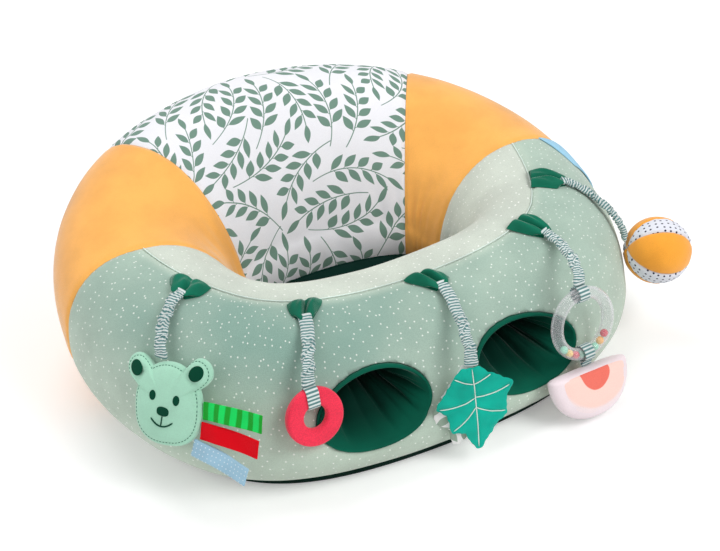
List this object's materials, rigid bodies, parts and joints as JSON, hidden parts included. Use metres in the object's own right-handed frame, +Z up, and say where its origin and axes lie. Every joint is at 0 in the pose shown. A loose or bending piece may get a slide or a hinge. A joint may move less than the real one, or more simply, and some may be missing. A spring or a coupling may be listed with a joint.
{
  "type": "baby floor seat",
  "caption": "Padded baby floor seat: an air ring in a zipped fabric cover with a high back, leg openings through the front, and soft toys hanging on gathered straps.",
  "frame": {"origin": "centre of the base panel's underside, on the floor", "axes": "+Z up, -Y towards the front with the leg openings, +X to the right as seen from the front"},
  "size_m": [0.6337, 0.5296, 0.235],
  "materials": {
    "air_chamber": "satin",
    "valve_plastic": "gloss",
    "sage_velour": "matte",
    "pale_sage_velour": "matte",
    "orange_velour": "matte",
    "white_print": "matte",
    "base_fabric": "matte",
    "mat_fabric": "matte",
    "lining_satin": "satin",
    "tab_velvet": "matte",
    "striped_webbing": "satin",
    "mint_plush": "matte",
    "green_ribbon": "satin",
    "red_ribbon": "satin",
    "blue_ribbon": "satin",
    "teether_rubber": "satin",
    "leaf_print": "matte",
    "leaf_felt": "matte",
    "clear_plastic": "gloss",
    "bead_plastic": "gloss",
    "fruit_plush": "matte",
    "flap_fabric": "matte",
    "zip_plastic": "satin",
    "zip_metal": "satin"
  },
  "bodies": {
    "seat": {"inflatable_ring": "air_chamber", "air_valve": "valve_plastic", "valve_plug": "valve_plastic", "front_panel": "sage_velour", "front_top_panel": "pale_sage_velour", "left_side_panel": "orange_velour", "right_side_panel": "orange_velour", "back_panel": "white_print", "base_panel": "base_fabric", "seat_mat": "mat_fabric", "leg_tunnel_left": "lining_satin", "leg_tunnel_right": "lining_satin", "tab_1": "tab_velvet", "tab_2": "tab_velvet", "tab_3": "tab_velvet", "tab_4": "tab_velvet", "tab_5": "tab_velvet", "zip_tape": "base_fabric", "zip_teeth": "zip_plastic"},
    "strap_1": {"strap_1": "striped_webbing"},
    "strap_2": {"strap_2": "striped_webbing"},
    "strap_3": {"strap_3": "striped_webbing"},
    "strap_4": {"strap_4": "striped_webbing"},
    "strap_5": {"strap_5": "striped_webbing"},
    "animal_head": {"animal_head": "mint_plush"},
    "ribbon_green": {"ribbon_green": "green_ribbon"},
    "ribbon_red": {"ribbon_red": "red_ribbon"},
    "ribbon_blue": {"ribbon_blue": "blue_ribbon"},
    "teether_loop": {"teether_loop": "striped_webbing"},
    "teether_ring": {"teether_ring": "teether_rubber"},
    "leaf_back": {"leaf_back": "leaf_print"},
    "leaf_front": {"leaf_front": "leaf_felt"},
    "rattle_loop": {"rattle_loop": "striped_webbing"},
    "rattle_ring": {"rattle_ring": "clear_plastic"},
    "rattle_beads": {"rattle_beads": "bead_plastic"},
    "fruit_loop": {"fruit_loop": "striped_webbing"},
    "fruit_slice": {"fruit_slice": "fruit_plush"},
    "side_flap": {"side_flap": "flap_fabric"},
    "zip_slider": {"zip_slider": "zip_metal"},
    "zip_pull": {"zip_pull": "zip_metal"},
    "ball": {"ball_filling": "white_print", "ball_orange_gores": "orange_velour", "ball_dotted_gores": "white_print"}
  },
  "joints": [
    {"name": "strap_1_lift", "type": "hinge", "parent": "seat", "child": "strap_1", "pos_m": [-0.21253, -0.06144, 0.17107], "axis": [-0.3173, 0.9483, 0], "range_deg": [0, 60]},
    {"name": "strap_2_lift", "type": "hinge", "parent": "seat", "child": "strap_2", "pos_m": [-0.12019, -0.13257, 0.15181], "axis": [-0.9784, 0.2069, 0], "range_deg": [0, 60]},
    {"name": "strap_3_lift", "type": "hinge", "parent": "seat", "child": "strap_3", "pos_m": [0.02587, -0.13631, 0.14175], "axis": [-0.9998, -0.0177, 0], "range_deg": [0, 60]},
    {"name": "strap_4_lift", "type": "hinge", "parent": "seat", "child": "strap_4", "pos_m": [0.15343, -0.12757, 0.15701], "axis": [-0.9072, -0.4207, 0], "range_deg": [0, 60]},
    {"name": "strap_5_lift", "type": "hinge", "parent": "seat", "child": "strap_5", "pos_m": [0.21964, -0.06714, 0.16876], "axis": [-0.3324, -0.9431, 0], "range_deg": [0, 60]},
    {"name": "head_swing", "type": "hinge", "parent": "strap_1", "child": "animal_head", "pos_m": [-0.25278, -0.10802, 0.143], "axis": [-0.5421, 0.8403, 0], "range_deg": [0, 50]},
    {"name": "green_tag_fold", "type": "hinge", "parent": "animal_head", "child": "ribbon_green", "pos_m": [-0.23676, -0.16426, 0.11098], "axis": [-0.3255, -0.355, -0.8764], "range_deg": [0, 40]},
    {"name": "red_tag_fold", "type": "hinge", "parent": "animal_head", "child": "ribbon_red", "pos_m": [-0.24313, -0.16997, 0.09509], "axis": [-0.3656, -0.2981, -0.8817], "range_deg": [0, 40]},
    {"name": "blue_tag_fold", "type": "hinge", "parent": "animal_head", "child": "ribbon_blue", "pos_m": [-0.25258, -0.17005, 0.08008], "axis": [-0.449, -0.1653, -0.8781], "range_deg": [0, 40]},
    {"name": "teether_swing", "type": "hinge", "parent": "strap_2", "child": "teether_loop", "pos_m": [-0.14784, -0.19314, 0.126], "axis": [-0.9999, -0.0129, 0], "range_deg": [0, 60]},
    {"name": "teether_turn", "type": "hinge", "parent": "teether_loop", "child": "teether_ring", "pos_m": [-0.14773, -0.20122, 0.09359], "axis": [0.0126, -0.9702, 0.2419], "continuous": true},
    {"name": "leaf_back_swing", "type": "hinge", "parent": "strap_3", "child": "leaf_back", "pos_m": [0.00632, -0.21978, 0.106], "axis": [-0.9286, 0.371, 0], "range_deg": [0, 50]},
    {"name": "leaf_front_fold", "type": "hinge", "parent": "leaf_back", "child": "leaf_front", "pos_m": [0.00632, -0.21978, 0.106], "axis": [-0.9286, 0.371, 0], "range_deg": [0, 50]},
    {"name": "rattle_swing", "type": "hinge", "parent": "strap_4", "child": "rattle_loop", "pos_m": [0.13907, -0.20383, 0.142], "axis": [-0.9979, -0.0647, 0], "range_deg": [0, 60]},
    {"name": "rattle_turn", "type": "hinge", "parent": "rattle_loop", "child": "rattle_ring", "pos_m": [0.13966, -0.21295, 0.09899], "axis": [0.0633, -0.9761, 0.2079], "continuous": true},
    {"name": "beads_roll", "type": "hinge", "parent": "rattle_ring", "child": "rattle_beads", "pos_m": [0.13966, -0.21295, 0.09899], "axis": [0.0633, -0.9761, 0.2079], "continuous": true},
    {"name": "fruit_slide_round", "type": "hinge", "parent": "rattle_loop", "child": "fruit_loop", "pos_m": [0.13966, -0.21295, 0.09899], "axis": [0.0633, -0.9761, 0.2079], "range_deg": [-45, 45]},
    {"name": "fruit_swing", "type": "hinge", "parent": "fruit_loop", "child": "fruit_slice", "pos_m": [0.14026, -0.2222, 0.05539], "axis": [-0.9979, -0.0647, 0], "range_deg": [-10, 50]},
    {"name": "ball_swing", "type": "hinge", "parent": "strap_5", "child": "ball", "pos_m": [0.2617, -0.12228, 0.114], "axis": [-0.4896, -0.8719, 0], "range_deg": [0, 35]},
    {"name": "side_flap_lift", "type": "hinge", "parent": "seat", "child": "side_flap", "pos_m": [0.25848, 0.00145, 0.16581], "axis": [0.3117, -0.8927, -0.3255], "range_deg": [0, 70]},
    {"name": "zip_run", "type": "hinge", "parent": "seat", "child": "zip_slider", "pos_m": [0, -0.35217, 0.038], "axis": [0, 0, 1], "range_deg": [0, 20]},
    {"name": "zip_pull_swing", "type": "hinge", "parent": "zip_slider", "child": "zip_pull", "pos_m": [0.09982, 0.21391, 0.03316], "axis": [0.9848, -0.1736, 0], "range_deg": [-5, 80]}
  ]
}
